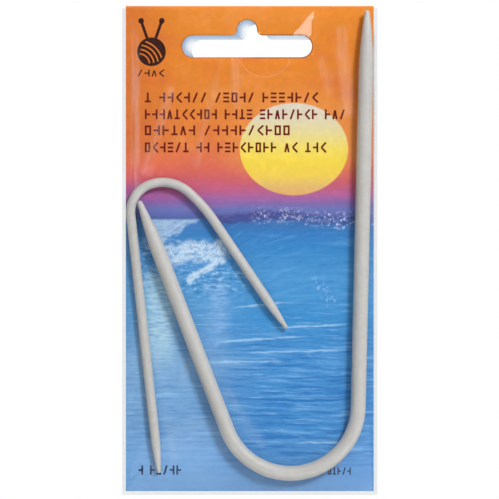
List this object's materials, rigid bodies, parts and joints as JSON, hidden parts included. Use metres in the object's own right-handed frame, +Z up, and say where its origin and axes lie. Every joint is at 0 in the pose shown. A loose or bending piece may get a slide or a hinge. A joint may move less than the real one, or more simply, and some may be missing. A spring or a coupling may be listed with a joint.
{
  "type": "cable needle pack",
  "caption": "U-shaped cable needles, thick and thin, lying on a printed card with a Euro hanging slot inside a clear film pouch.",
  "frame": {"origin": "centre of the pouch's back, on its outer face", "axes": "+X to the right seen from the printed front, +Y to the back, +Z up towards the hanging slot"},
  "size_m": [0.071, 0.0053, 0.136],
  "materials": {
    "printed_card": "satin",
    "clear_film": "gloss",
    "coated_needle": "satin"
  },
  "bodies": {
    "pouch": {"front_film": "clear_film", "back_film": "clear_film"},
    "card": {"card": "printed_card"},
    "large_needle": {"large_needle": "coated_needle"},
    "small_needle": {"small_needle": "coated_needle"}
  },
  "joints": [
    {"name": "needles_draw", "type": "slide", "parent": "pouch", "child": "large_needle", "axis": [0, 0, 1], "range_m": [0, 0.14]},
    {"name": "small_needle_draw", "type": "slide", "parent": "pouch", "child": "small_needle", "axis": [0, 0, 1], "range_m": [0, 0.14]},
    {"name": "card_draw", "type": "slide", "parent": "pouch", "child": "card", "axis": [0, 0, 1], "range_m": [0, 0.14]}
  ],
  "couplings": [
    {"joint": "small_needle_draw", "follows": "needles_draw", "ratio": 1}
  ]
}
